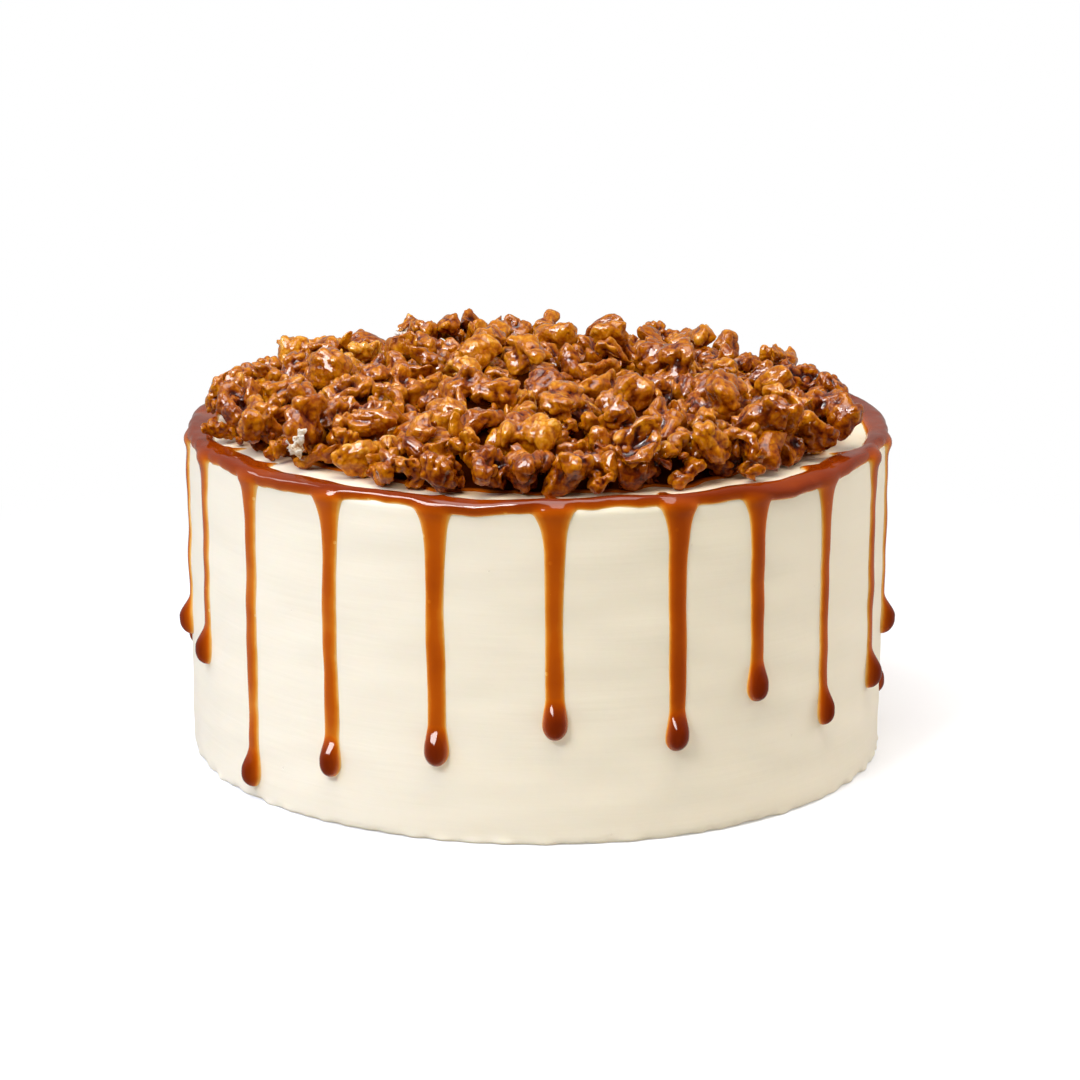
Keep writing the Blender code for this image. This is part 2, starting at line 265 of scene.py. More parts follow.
# Mottle: a cloudy pattern of the given size, with a mean of 0.5, for tints, gloss and low relief.
mottle = bpy.data.node_groups.new("mottle", "ShaderNodeTree")
for socket, kind in (("Place", "Vector"), ("Size", "Float"), ("Detail", "Float")):
    mottle.interface.new_socket(socket, in_out="INPUT", socket_type="NodeSocket" + kind)
mottle.interface.new_socket("Share", in_out="OUTPUT", socket_type="NodeSocketFloat")
given = mottle.nodes.new("NodeGroupInput").outputs
scale = calc(mottle, "DIVIDE", 1.0, given["Size"])
inputs = {"Vector": given["Place"], "Scale": scale, "Detail": given["Detail"]}
cloud = add_node(mottle, "ShaderNodeTexNoise", inputs).outputs["Fac"]
add_node(mottle, "NodeGroupOutput", {"Share": cloud})


def mottled(tree, place, size, detail=2.0):
    """A mottle's value in a tree."""
    inputs = {"Place": place, "Size": size, "Detail": detail}
    return add_node(tree, "ShaderNodeGroup", inputs, node_tree=mottle).outputs["Share"]


def object_place(tree, scale=(1, 1, 1)):
    """Object coordinates, stretched by a Mapping node."""
    place = add_node(tree, "ShaderNodeTexCoord").outputs["Object"]
    return add_node(tree, "ShaderNodeMapping", {"Vector": place, "Scale": scale}).outputs["Vector"]


def spotted(tree, place, density, size):
    """1 in small round spots, and 0 between them."""
    cells = add_node(tree, "ShaderNodeTexVoronoi", {"Vector": place, "Scale": density})
    return calc(tree, "LESS_THAN", cells.outputs["Distance"], size)


def bumped(tree, height, distance):
    """The normal of a Bump node."""
    return add_node(tree, "ShaderNodeBump", {"Height": height, "Distance": distance}).outputs["Normal"]


frosting, tree, shader = new_finish(
    "ivory frosting", Roughness=0.5, IOR=1.45, Subsurface_Weight=0.12,
    Subsurface_Radius=(0.004, 0.0025, 0.0012), Subsurface_Scale=1.0,
)
place = object_place(tree)
streaky = mottled(tree, object_place(tree, (1, 1, 14)), 30 * MM, 4.0)
pit = spotted(tree, place, 70.0, 0.035)
tint = mixed(tree, mottled(tree, place, 35 * MM), *IVORY)
tint = mixed(tree, scaled(tree, pit, 0.12), tint, PIT_SHADE)
# Browner under the nuts: partly a caramel stain, partly painted shade from the heap.
tint = mixed(tree, scaled(tree, marked(tree, "stain"), 0.6), tint, STAIN_AND_SHADE_BROWN)
relief = scaled(tree, mottled(tree, place, 4 * MM, 3.0), 0.35, streaky)
normal = bumped(tree, scaled(tree, pit, -1.5, relief), 0.1 * MM)
feed(shader, Base_Color=tint, Roughness=scaled(tree, streaky, 0.25, 0.4), Normal=normal)

# The profile, from the middle of the top over the rounded edge, down the wall and underneath.
top_r = np.hstack([np.linspace(0.15, 0.8, 5), np.linspace(0.83, 0.965, 14)]) * CAKE_RADIUS
corner = np.linspace(0, math.pi / 2, 9)
wall_z = np.linspace(CAKE_HEIGHT - EDGE_RADIUS, FOOT_RADIUS, 76)[1:]
foot = np.linspace(0, math.pi / 2, 6)[1:]
profile = (
    (top_r, CAKE_HEIGHT),
    (CAKE_RADIUS - EDGE_RADIUS * (1 - np.sin(corner)), CAKE_HEIGHT - EDGE_RADIUS * (1 - np.cos(corner))),
    (CAKE_RADIUS, wall_z),
    (CAKE_RADIUS - FOOT_RADIUS * (1 - np.cos(foot)), FOOT_RADIUS * (1 - np.sin(foot))),
    (np.array([0.97, 0.6, 0.2]) * CAKE_RADIUS, 0.0),
)
ring_r, ring_z = np.hstack([np.broadcast_arrays(r, z) for r, z in profile])
azimuth = np.linspace(0, math.tau, AROUND, endpoint=False)
out = outward(azimuth)
points = ring_r[:, None, None] * out + ring_z[:, None, None] * np.array([0, 0, 1])
points += out * scraped(points)[..., None]
# The brown mark inside the nuts' edge: partly a caramel stain, partly painted shade.
stain = 1 - smooth_step(ring_r[:, None] - heap_edge(azimuth), *STAIN_AND_SHADE_REACH)
stain = stain * (ring_z > CAKE_HEIGHT - 0.1 * MM)[:, None]
stain = np.hstack([1, stain.ravel(), 0])
points = np.vstack([[0, 0, CAKE_HEIGHT], points.reshape(-1, 3), [0, 0, 0]])
faces = rings_to_faces(len(ring_r), AROUND)
piece = new_piece("frosting", points, faces, frosting, "ivory_frosting", stain=stain)
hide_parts("frosted_cake")

# --- Caramel film ---
# Warm caramel, poured round the top edge and left to run: a band over the edge, and drips that
# end in hanging drops. It is one film, whose thickness is a formula over the cake's skin.

# Sizes in this section are in mm. Each drip that is seen: azimuth in degrees, height of its foot,
# width, and how dark its run is.
SEEN_DRIPS = (
    (-82, 34, 4.5, 1), (-67.5, 32.2, 4.6, 1), (-51.3, 3.8, 4.8, 0.9),
    (-33.6, 14, 4.9, 1), (-15.6, 21.5, 5.2, 1.05), (2.5, 30, 5.2, 1.05),
    (21.7, 25, 5.1, 1.5), (35.9, 35.5, 4.7, 1.5), (51.5, 22.5, 4, 1.2), (69, 25, 4.4, 1.2),
    (81, 35.5, 4.5, 1), (96, 8.5, 4.6, 1),
)
HIDDEN_DRIPS = 10
HIDDEN_JITTER = 2.2
HIDDEN_FEET = (6.0, 36.0)
HIDDEN_WIDTH = 4.3
DRIP_SEED = 11
# Where the seen band starts and ends, as azimuth, then how far past the start of the rounded edge.
SEEN_BAND = (
    (-59, -6, 3.9), (-51, -3.4, 4.4), (-45, -2.2, 4.7), (-38, -3.6, 4), (-28, -1.2, 3.3),
    (-24, -3.2, 2.6), (-19, -1.8, 3.6), (-10, -0.5, 5), (-2, -0.8, 3.8), (6, -2.4, 3),
    (12, -4.5, 2.4), (17, -2.4, 2.8), (27, -1, 4), (33, -2, 3.5), (41, -0.5, 6),
    (47, -1.1, 5.4), (60, -6, 3.9),
)
HIDDEN_BAND = ((-5.0, -1.2), (2.6, 5.0))
BAND_HEIGHT = 1.3
BAND_SHOULDER = 2.5
BAND_DARK = 0.9
# The band swells into a head over each drip and into a lip along its lower edge.
HEAD_HEIGHT = 1.0
HEAD_PLACE = (3.6, 2.3)
LIP_HEIGHT = 0.55
LIP_PLACE = (1.7, 1.1)
# Tongues of caramel that reach inwards from the band: azimuth, reach and half width.
TONGUES = (
    (2, 7.5, 2.6), (20.5, 5.5, 2.4), (-15, 2.2, 2.4), (-53, 5, 4), (-66, 5.5, 2.6),
    (52, 5, 3.4), (64, 3.6, 2.6),
)
RUN_HEIGHT = 0.85
DROP_HEIGHT = 4.0
DROP_WIDTH = 1.33
DROP_BALL = 4.3
DROP_SWELL = (12.2, 5.4)
FUNNEL_TOP = 3.0
FUNNEL_FALL = 4.6
FUNNEL_FLARE = (2.4, 4.0)
# The film's rim dives this far under the frosting's skin.
UNDER = 0.45
CORNER_RUN = EDGE_RADIUS / MM * math.pi / 2
# A drip's columns, as shares of its half width, and the columns from one drip to the next.
DRIP_COLUMNS = np.sin(np.linspace(-math.pi / 2, math.pi / 2, 13))
DRIP_COLUMNS = np.hstack([-1.35, -1.14, DRIP_COLUMNS, 1.14, 1.35])
DRIP_SIDE = (DRIP_COLUMNS > 0).astype(int)
BETWEEN = 14


def skin(azimuth, down, lift):
    """The point of the cake's skin at an azimuth, so far down past the start of its rounded edge,
    lifted off along the skin's normal."""
    edge = EDGE_RADIUS / MM
    turn = np.clip(down / edge, 0, math.pi / 2)
    reach = CAKE_RADIUS / MM - edge + np.minimum(down, 0) + (edge + lift) * np.sin(turn)
    z = CAKE_HEIGHT / MM - edge - np.maximum(down - CORNER_RUN, 0) + (edge + lift) * np.cos(turn)
    point = np.stack([reach * np.sin(azimuth), -reach * np.cos(azimuth), z], -1) * MM
    return point + outward(azimuth) * (scraped(point) * np.sin(turn))[..., None]


def dome(share, width, power):
    """A rounded section, (1 - share^2)^power out to a share of 1, and how far it dives outside."""
    return np.clip(1 - share**2, 0, 1) ** power, 0.9 * width * np.maximum(np.abs(share) - 1, 0)


def rounded(share, power=0.5):
    """A quarter round: 0 up to a share of 0 and 1 from 1 on, (1 - (1 - share)^2)^power between."""
    return np.clip(1 - (1 - np.clip(share, 0, 1)) ** 2, 0, 1) ** power


def shoulder(share, power):
    """A rounded edge that goes on down, past its foot, under the skin."""
    return rounded(share, power) + 1.6 * np.minimum(share, 0)


def smooth_max(a, b, reach):
    """The larger of two, with their meeting rounded: max + reach / 4 * (1 - |a - b| / reach)^2."""
    return np.maximum(a, b) + reach / 4 * np.clip(1 - np.abs(a - b) / reach, 0, None) ** 2


def wander(place, wavelength, seed):
    """One-dimensional relief: the waves along a line."""
    line = np.zeros((*np.shape(place), 3))
    line[..., 0] = place
    return waves(line, wavelength, seed, 9)


rng = np.random.default_rng(DRIP_SEED)
drips = [(math.radians(a), foot, width, dark) for a, foot, width, dark in SEEN_DRIPS]
last_seen = drips[-1][0]
gap = (drips[0][0] + math.tau - last_seen) / (HIDDEN_DRIPS + 1)
for i in range(HIDDEN_DRIPS):
    turn = math.radians(rng.uniform(-HIDDEN_JITTER, HIDDEN_JITTER))
    width = HIDDEN_WIDTH + 0.2 * (i * 3 % 5)
    drips.append((last_seen + gap * (i + 1) + turn, rng.uniform(*HIDDEN_FEET), width, 1.0))
drip_azimuth, drip_foot, drip_width, drip_dark = np.array(drips).T
drip_tip = CORNER_RUN + (CAKE_HEIGHT - EDGE_RADIUS) / MM - drip_foot
flare = np.random.default_rng(4).uniform(*FUNNEL_FLARE, (len(drips), 2))
rng = np.random.default_rng(17)
hidden_band = [(a, rng.uniform(*HIDDEN_BAND[0]), rng.uniform(*HIDDEN_BAND[1])) for a in range(72, 296, 9)]
band_places = np.array([*SEEN_BAND, *hidden_band], float)


def half_width(down, drip, side):
    """Half the width of a drip: its run, flared under the band, and swollen at the drop."""
    run = drip_width[drip] / 2 * (1 + 0.03 * wander(down + 50 * drip, 22.0, 5))
    above = drip_tip[drip] - down
    run = run + flare[drip, side] * np.exp(-np.maximum(down - FUNNEL_TOP, 0) / FUNNEL_FALL)
    run = run + (DROP_WIDTH - 1) * drip_width[drip] / 2 * smooth_step(-above, -DROP_SWELL[0], -DROP_BALL)
    return np.maximum(run * rounded(above / DROP_BALL), 0.12)


def drip_height(down, drip, head):
    """The thickness along a drip's middle: a head on the edge, a thin run and a fat drop."""
    above = drip_tip[drip] - down
    swell = smooth_step(-above, -DROP_SWELL[0], -DROP_SWELL[1])
    tall = RUN_HEIGHT * (1 + 0.1 * wander(down + 90 * drip, 14.0, 6)) + (DROP_HEIGHT - RUN_HEIGHT) * swell
    tall = tall + head * bell(down, *HEAD_PLACE)
    return np.where(above > 0.02, tall * rounded(above / DROP_BALL), -UNDER)


def drip_middle(down, drip):
    """How far a drip wanders sideways."""
    return 0.22 * wander(down + 70 * drip, 40.0, 7) * smooth_step(down, FUNNEL_TOP, FUNNEL_TOP + 12)


def band_height(azimuth, down, power):
    """The band's thickness, tongues included: its height and lip, times its lower rounded edge."""
    ring = np.stack([np.sin(azimuth), np.cos(azimuth), 0 * azimuth], -1) * CAKE_RADIUS / MM
    beside = [np.degrees(azimuth) + aside for aside in (-1.6, 0, 1.6)]
    places, *ends = band_places.T
    inner, outer = (sum(np.interp(at, places, end, period=360) for at in beside) / 3 for end in ends)
    inner = inner + 0.15 * waves(ring, 9.0, 9)
    outer = outer + 0.12 * waves(ring, 8.0, 12)
    for at, reach, half in TONGUES:
        aside = np.abs(turned(azimuth, math.radians(at))) * CAKE_RADIUS / MM / half
        inner = inner - reach * np.clip(1 - aside, 0, 1) ** 1.4
    tall = BAND_HEIGHT * (1 + 0.1 * waves(ring, 18.0, 13))
    tall = tall * (0.45 + 0.55 * smooth_step(down, -7.0, -2.2))
    tall = tall + LIP_HEIGHT * bell(outer - down, *LIP_PLACE)
    rise = shoulder((down - inner) / BAND_SHOULDER, power)
    fall = shoulder((outer - down) / BAND_SHOULDER, power)
    return tall * np.minimum(rise, fall)


def column_widths(down, drip):
    """A drip's half width at each row, for each of its columns."""
    return np.stack([half_width(down, drip, side) for side in (0, 1)], -1)[:, DRIP_SIDE]


def film_columns(down, drip):
    """Where the film's columns cross these rows, from a drip's middle: the drip's own, then those
    over to the next one."""
    own = DRIP_COLUMNS * column_widths(down, drip) + drip_middle(down, drip)[:, None]
    after = (drip + 1) % len(drips)
    gap = (drip_azimuth[after] - drip_azimuth[drip]) % math.tau * CAKE_RADIUS / MM
    start = own[:, -1:]
    end = gap + DRIP_COLUMNS[0] * half_width(down, after, 0)[:, None] + drip_middle(down, after)[:, None]
    share = np.arange(1, BETWEEN + 1) / (BETWEEN + 1)
    return own, start + (end - start) * share


def drip_section(down, drip, power, head=0.0):
    """A drip's thickness at its columns: its middle's thickness times the rounded section."""
    body, dive = dome(DRIP_COLUMNS, column_widths(down, drip), power)
    return drip_height(down, drip, head)[:, None] * body - dive


# The upper zone goes all the way round: each drip's head, and the band as far as the next one.
# Its thickness comes twice, as the surface and, with rounder edges, as the depth of its colour.
down = [np.arange(-11.0, -6.0, 0.6), np.arange(-6.0, 7.0, 0.4), 7 + np.cumsum(np.linspace(0.5, 1.4, 12))]
down = np.hstack(down)
join = down[-1]
fade = smooth_step(down, -2.6, 1.0)[:, None]
zones = []
for d in range(len(drips)):
    own, between = (drip_azimuth[d] + places * MM / CAKE_RADIUS for places in film_columns(down, d))
    heights = []
    for power, head in ((0.5, HEAD_HEIGHT), (0.8, 0.0)):
        drip = drip_section(down, d, power, head) * fade - 2.0 * (1 - fade)
        near = smooth_max(band_height(own, down[:, None], power), drip, 0.9)
        heights.append(np.hstack([near, band_height(between, down[:, None], power)]))
    heights[1] = heights[1] * (1 + (drip_dark[d] - 1) * smooth_step(down, 1.0, 6.0)[:, None])
    heights[1] = heights[1] * (1 + BAND_DARK * bell(down[:, None], -0.5, 3.2))
    zones.append((np.hstack([own, between]), *heights))
zone_azimuth, *zone_heights = map(np.hstack, zip(*zones))
index = np.arange(zone_azimuth.size).reshape(zone_azimuth.shape)
quads = [ladder(np.hstack([index, index[:, :1]]))]
film = [(zone_azimuth, np.broadcast_to(down[:, None], zone_azimuth.shape), *zone_heights)]
count = zone_azimuth.size

# Below it each drip goes on alone: rows down its run, its neck and its drop.
for d in range(len(drips)):
    tip = drip_tip[d]
    start = max(tip - DROP_SWELL[0], join + 0.5)
    run_rows = np.linspace(join, start, max(3, int((start - join) / 1.3)))[1:]
    neck_rows = np.linspace(start, tip - DROP_BALL, 20)[1:-1]
    ball_rows = tip - DROP_BALL * (1 - np.cos(np.linspace(math.pi / 2, 0, 14)))
    rows = np.hstack([run_rows, neck_rows, ball_rows])
    own, _ = film_columns(rows, d)
    first = index[-1, d * (len(DRIP_COLUMNS) + BETWEEN) :][: len(DRIP_COLUMNS)]
    quads.append(ladder(np.vstack([first, count + np.arange(own.size).reshape(own.shape)])))
    heights = drip_section(rows, d, 0.5), drip_section(rows, d, 0.8) * drip_dark[d]
    own_azimuth = drip_azimuth[d] + own * MM / CAKE_RADIUS
    film.append((own_azimuth, np.broadcast_to(rows[:, None], own.shape), *heights))
    count += own.size

# Where the film lies wholly under the skin it is left out. Its open rim is the meeting of its
# upper side and its lower one.
film = [np.hstack([part.ravel() for part in parts]) for parts in zip(*film)]
film_azimuth, film_down, film_height, depth = film
film_height = np.maximum(film_height, -UNDER)
quads = np.vstack(quads)
quads = quads[(film_height[quads] > -UNDER + 1e-6).any(1)]
edges = np.sort(np.vstack([quads[:, [a, (a + 1) % 4]] for a in range(4)]), 1)
edges, times = np.unique(edges, axis=0, return_counts=True)
rim = np.unique(edges[times == 1])
film_height[rim] = -UNDER
under = np.arange(count) + count
under[rim] = rim
quads_under = under[quads[:, ::-1]]
used = np.unique([quads, quads_under])
place_of = np.zeros(2 * count, int)
place_of[used] = np.arange(len(used))
lifts = film_height, np.full(count, -UNDER)
points = np.vstack([skin(film_azimuth, film_down, lift) for lift in lifts])

# The brown of a clear caramel film, by its depth.
CARAMEL_STOPS = (
    (0.0, (0.86, 0.56, 0.23)), (0.04, (0.78, 0.38, 0.07)), (0.1, (0.62, 0.175, 0.009)),
    (0.19, (0.46, 0.08, 0.001)), (0.32, (0.33, 0.048, 0.0006)), (0.6, (0.21, 0.024, 0.0006)),
    (1.0, (0.15, 0.0145, 0.0006)),
)
DEEPEST = 4.0
BUBBLE_DEPTH = 0.16

caramel, tree, shader = new_finish("caramel", Roughness=0.08, IOR=1.42)
place = object_place(tree)
stir = calc(tree, "SUBTRACT", mottled(tree, place, 6 * MM), 0.5)
seen_depth = scaled(tree, stir, 0.35, marked(tree, "depth"))
seen_depth = scaled(tree, spotted(tree, place, 160.0, 0.09), -BUBBLE_DEPTH, seen_depth)
tint = ramp(tree, calc(tree, "DIVIDE", seen_depth, DEEPEST), CARAMEL_STOPS)
normal = bumped(tree, mottled(tree, place, 6 * MM, 1.0), 0.12 * MM)
feed(shader, Base_Color=tint, Normal=normal)
faces = [place_of[quads], place_of[quads_under]]
new_piece("caramel_drip", points[used], faces, caramel, "caramel", depth=np.tile(depth, 2)[used])

# --- Walnut pieces ---
# Broken walnut kernels, tossed in hot caramel and heaped over the top. Each is a knobbly lump with
# a kernel's winding furrows, some bent into a hook or cupped like a shell, all in a glossy coat.

HEAP_SEED = 248
PIECES = 290
OUTWARD = 0.36
HALF_LENGTH = (4.8 * MM, 9.1 * MM)
WIDTH_SHARE = (0.6, 0.86)
THICKNESS_SHARE = (0.5, 0.72)
TRIES = 20
CELL = 1.5 * MM
SINK = 2.6 * MM
HEAP_DOME = 4.5 * MM
DOME_POWER = 4
STEEPEST = math.radians(50)
BAND_INNER_RADIUS = CAKE_RADIUS - 6.8 * MM
BAND_TOP = 1.2 * MM
# Each kind's bend in radians, its small knobs, its ridges and its broken faces.
KINDS = (
    ("walnut_chunks", (0.0, 0.5), (4, 8), 2, (2, 5)),
    ("walnut_hooks", (1.0, 1.9), (2, 6), 1, (0, 3)),
    ("walnut_curls", (0.5, 1.2), (3, 8), 2, (0, 3)),
    ("walnut_knobs", (0.2, 0.9), (5, 10), 1, (1, 3)),
    ("walnut_shells", (0.0, 0.0), (3, 7), 0, (0, 2)),
)
# Each kind is carved a dozen times, finely, and again coarsely for the kernels deep in the heap.
STOCK = 12
STOCK_HALF = 7.0
FINE = (0.58, 0.8)
COARSE = (1.3, 0.4)
BURIED = 5.0 * MM
LUMP_STRETCH = 1.05
HEAP_STRETCH = 1.1
FLAT_FOOT = CAKE_HEIGHT - 0.5 * MM
# A kernel's shape: how its ridges sway, rise and swell, in shares of their own radius, its knobs'
# sizes and how far they stand out, and its furrows, lobes and grit, as depth and length in mm.
SWAY = (-0.42, 0.42)
RISE = (-0.55, 0.55)
SWELL = (0.5, 1.12)
KNOB_SIZE = (0.34, 0.72)
KNOB_REACH = (0.6, 0.95)
FURROW_LENGTH = 3.4
LOBES = (0.24, 5.5)
GRIT = (0.1, 2.0)
CUT_PLACE = (0.72, 0.92)
CUT_SHARE = 0.88
# The kernel's tone runs from 0, burnt caramel, to 1, bare kernel. It is darker low down in the heap,
# partly for the caramel that ran there and partly as painted shade, and darker on the right as painted
# shade.
ROAST = (0.64, 0.09)
POOLED_AND_SHADED_HEIGHT = (4 * MM, 19 * MM)
POOLED_AND_SHADED_DARK = 0.21
SHADED_SIDE = (-80 * MM, 40 * MM)
SHADED_DARK = 0.09
NUT_STOPS = (
    (0.0, (0.034, 0.0022, 0.0001)), (0.25, (0.125, 0.0135, 0.0002)),
    (0.48, (0.3, 0.063, 0.0003)), (0.72, (0.48, 0.145, 0.0006)),
    (0.9, (0.62, 0.235, 0.006)), (1.0, (0.73, 0.35, 0.05)),
)
# The coat's gloss is full on the heap's upper part and fades out down in its shade.
COAT_RISE = (0.096, 0.107)
COAT_GLOSS = (0.12, 0.95)
# The heap's relief: how high its face is over the cake, cell by cell.
RELIEF_CELL = 0.75 * MM
RELIEF_CELLS = 2 * int(CAKE_RADIUS / RELIEF_CELL) + 1


def lump_faces(half, turn, dx, dy):
    """Where a turned ellipsoid is over a window of cells, and how high its two faces are there."""
    form = turn @ np.diag(1.0 / half**2) @ turn.T
    b = form[0, 2] * dx + form[1, 2] * dy
    c = form[0, 0] * dx**2 + 2 * form[0, 1] * dx * dy + form[1, 1] * dy**2 - 1.0
    root = b**2 - form[2, 2] * c
    inside = root > 0
    root = np.sqrt(np.where(inside, root, 0.0))
    return inside, (-b - root) / form[2, 2], (-b + root) / form[2, 2]


def settle_heap():
    """Drops the pieces one by one on the lowest of a few places, as the model's own solids lie:
    their middles, half sizes and turns, and how deep each is buried."""
    rng = np.random.default_rng(HEAP_SEED)
    count = int(round(2 * CAKE_RADIUS / CELL))
    grid = (np.arange(count) - (count - 1) / 2) * CELL
    across, along = np.meshgrid(grid, grid, indexing="ij")
    level = np.where(np.hypot(across, along) > BAND_INNER_RADIUS, BAND_TOP, 0.0)
    window = int(math.ceil(HALF_LENGTH[1] / CELL))
    dx, dy = np.meshgrid(*[np.arange(-window, window + 1) * CELL] * 2, indexing="ij")
    pieces = []
    for length in rng.uniform(*HALF_LENGTH, PIECES):
        half = length * np.array([1.0, rng.uniform(*WIDTH_SHARE), rng.uniform(*THICKNESS_SHARE)])
        tilt = STEEPEST * rng.uniform(-1, 1, 2)
        turn = np.array(Euler((*tilt, rng.uniform(0, math.tau))).to_matrix())
        inside, lower, upper = lump_faces(half, turn, dx, dy)
        azimuth = rng.uniform(-math.pi, math.pi, TRIES)
        reach = rng.random(TRIES) ** OUTWARD * (heap_edge(azimuth) - half[1])
        near = np.round(reach[:, None] * outward(azimuth)[:, :2] / CELL + (count - 1) / 2).astype(int)
        tries = []
        for i, j in np.clip(near, window, count - 1 - window):
            under = level[i - window : i + window + 1, j - window : j + window + 1]
            rest = (under - lower)[inside].max()
            outer = math.hypot(grid[i], grid[j]) / HEAP_RADIUS
            tries.append((rest + HEAP_DOME * outer**DOME_POWER, rest, i, j))
        _, z, i, j = min(tries)
        if z + lower[inside].min() > SINK:
            z -= SINK
        patch = level[i - window : i + window + 1, j - window : j + window + 1]
        patch[inside] = np.maximum(patch, z + upper)[inside]
        crown = z + upper[window, window]
        pieces.append(((grid[i], grid[j], CAKE_HEIGHT + z), half, turn, (i, j), crown))
    middles, halves, turns, spots, crowns = map(np.array, zip(*pieces))
    return middles, halves, turns, level[tuple(spots.T)] - crowns


# The points and the triangles of a round ball of radius 1.
ball = bmesh.new()
bmesh.ops.create_icosphere(ball, subdivisions=2, radius=1.0)
BALL = np.array([v.co for v in ball.verts])
BALL_FACES = np.array([[v.index for v in f.verts] for f in ball.faces])
ball.free()


def glazed(middles, radii, grain):
    """The points, squares and normals of one closed skin round a cluster of balls, in mm, smoothed
    until it fills the joints as a coat of caramel does."""
    points = middles[:, None] + radii[:, None, None] * BALL
    faces = BALL_FACES + len(BALL) * np.arange(len(middles))[:, None, None]
    mesh = bpy.data.meshes.new("cluster")
    mesh.from_pydata(points.reshape(-1, 3).tolist(), [], faces.reshape(-1, 3).tolist())
    cluster = placed("cluster", mesh)
    skin = cluster.modifiers.new("skin", "REMESH")
    skin.mode = "VOXEL"
    skin.voxel_size = grain
    soft = cluster.modifiers.new("soft", "SMOOTH")
    soft.factor = 0.6
    soft.iterations = 2
    done = cluster.evaluated_get(bpy.context.evaluated_depsgraph_get()).to_mesh()
    points, normals = np.empty((2, len(done.vertices) * 3))
    done.vertices.foreach_get("co", points)
    done.vertices.foreach_get("normal", normals)
    squares = np.empty(len(done.loops), int)
    done.loops.foreach_get("vertex_index", squares)
    bpy.data.objects.remove(cluster)
    bpy.data.meshes.remove(mesh)
    return points.reshape(-1, 3), squares.reshape(-1, 4), normals.reshape(-1, 3)


def blurred(values, squares, times):
    """Values at a mesh's points, replaced by their neighbours' mean a few times."""
    edges = np.vstack([squares[:, [a, (a + 1) % 4]] for a in range(4)])
    number = np.bincount(edges[:, 0], minlength=len(values))[:, None]
    for _ in range(times):
        total = [np.bincount(edges[:, 0], v[edges[:, 1]], len(values)) for v in values.T]
        values = np.stack(total, 1) / number
    return values


def flowing(rng, places, marks, low, high):
    """Values between low and high that change smoothly along places from -1 to 1."""
    at = np.linspace(-1, 1, marks)
    values = np.interp(places, at, rng.uniform(low, high, marks))
    return (values + np.interp(places + 0.12, at, np.interp(at, places, values))) / 2


def ridge_balls(rng, half, arc, ridges):
    """The middles and radii of balls along lobed ridges, side by side on an arc, and the ridges'
    own radius."""
    long, wide, thick = half
    ridge = 0.46 * wide if ridges > 1 else 0.6 * min(wide, thick * 1.15)
    reach = long - 0.8 * ridge
    steps = max(8, int(round(reach * 2 / (ridge * 0.4))))
    curve = max(arc, 0.05)
    middles, radii = [], []
    for side in (np.arange(ridges) - (ridges - 1) / 2) * 2 * (wide - ridge) * 0.95:
        share = np.linspace(*(rng.uniform(0.75, 1.0, 2) * (-1, 1)), steps)
        turn = curve * share
        sway = flowing(rng, share, 4, *SWAY) * ridge
        rise = flowing(rng, share, 4, *RISE) * ridge
        arm = reach / curve - side
        middles.append(np.stack([arm * np.sin(turn), reach / curve - arm * np.cos(turn) + sway, rise], -1))
        radii.append(ridge * flowing(rng, share, 6, *SWELL) * (1 - 0.22 * share**4))
    return np.vstack(middles), np.hstack(radii), ridge


def plate_balls(rng, half):
    """The middles and radii of balls over a cupped plate with a thick, broken rim, and the rim's
    own radius."""
    long, wide, thick = half
    ridge = 0.42 * thick
    turn = np.linspace(0, math.tau * rng.uniform(0.6, 1.0), 22)
    rim = np.stack([(long - ridge) * np.cos(turn), (wide - ridge) * np.sin(turn), 0 * turn], -1)
    rim *= flowing(rng, turn / math.pi - 1, 6, 0.72, 1.0)[:, None]
    rim[:, 2] = flowing(rng, turn / math.pi - 1, 6, -0.2, 0.7) * thick
    inner = [rim[::2] * (k, k, 0.1) - [0, 0, (1 - k) * 0.6 * thick] for k in (0.25, 0.5, 0.76)]
    middles = np.vstack([rim, *inner])
    return middles, ridge * rng.uniform(0.8, 1.1, len(middles)), ridge


def knobbed(rng, middles, radii, ridge, knobs):
    """The balls with small knobs set on them at random: each is three balls in a leaning row."""
    pick = rng.integers(0, len(middles), knobs)
    way = rng.normal(size=(knobs, 3)) * (0.6, 1, 1)
    way /= np.linalg.norm(way, axis=1)[:, None]
    small = rng.uniform(*KNOB_SIZE, knobs) * ridge
    knob = middles[pick] + way * (radii[pick] * rng.uniform(*KNOB_REACH, knobs))[:, None]
    lean = rng.normal(size=(knobs, 3)) * (1.6, 0.8, 0.8)
    lean *= (small * rng.uniform(0.4, 1.3, knobs) / np.linalg.norm(lean, axis=1))[:, None]
    middles = np.vstack([middles, knob - lean, knob, knob + lean])
    return middles, np.hstack([radii, small * 0.85, small, small * 0.7])


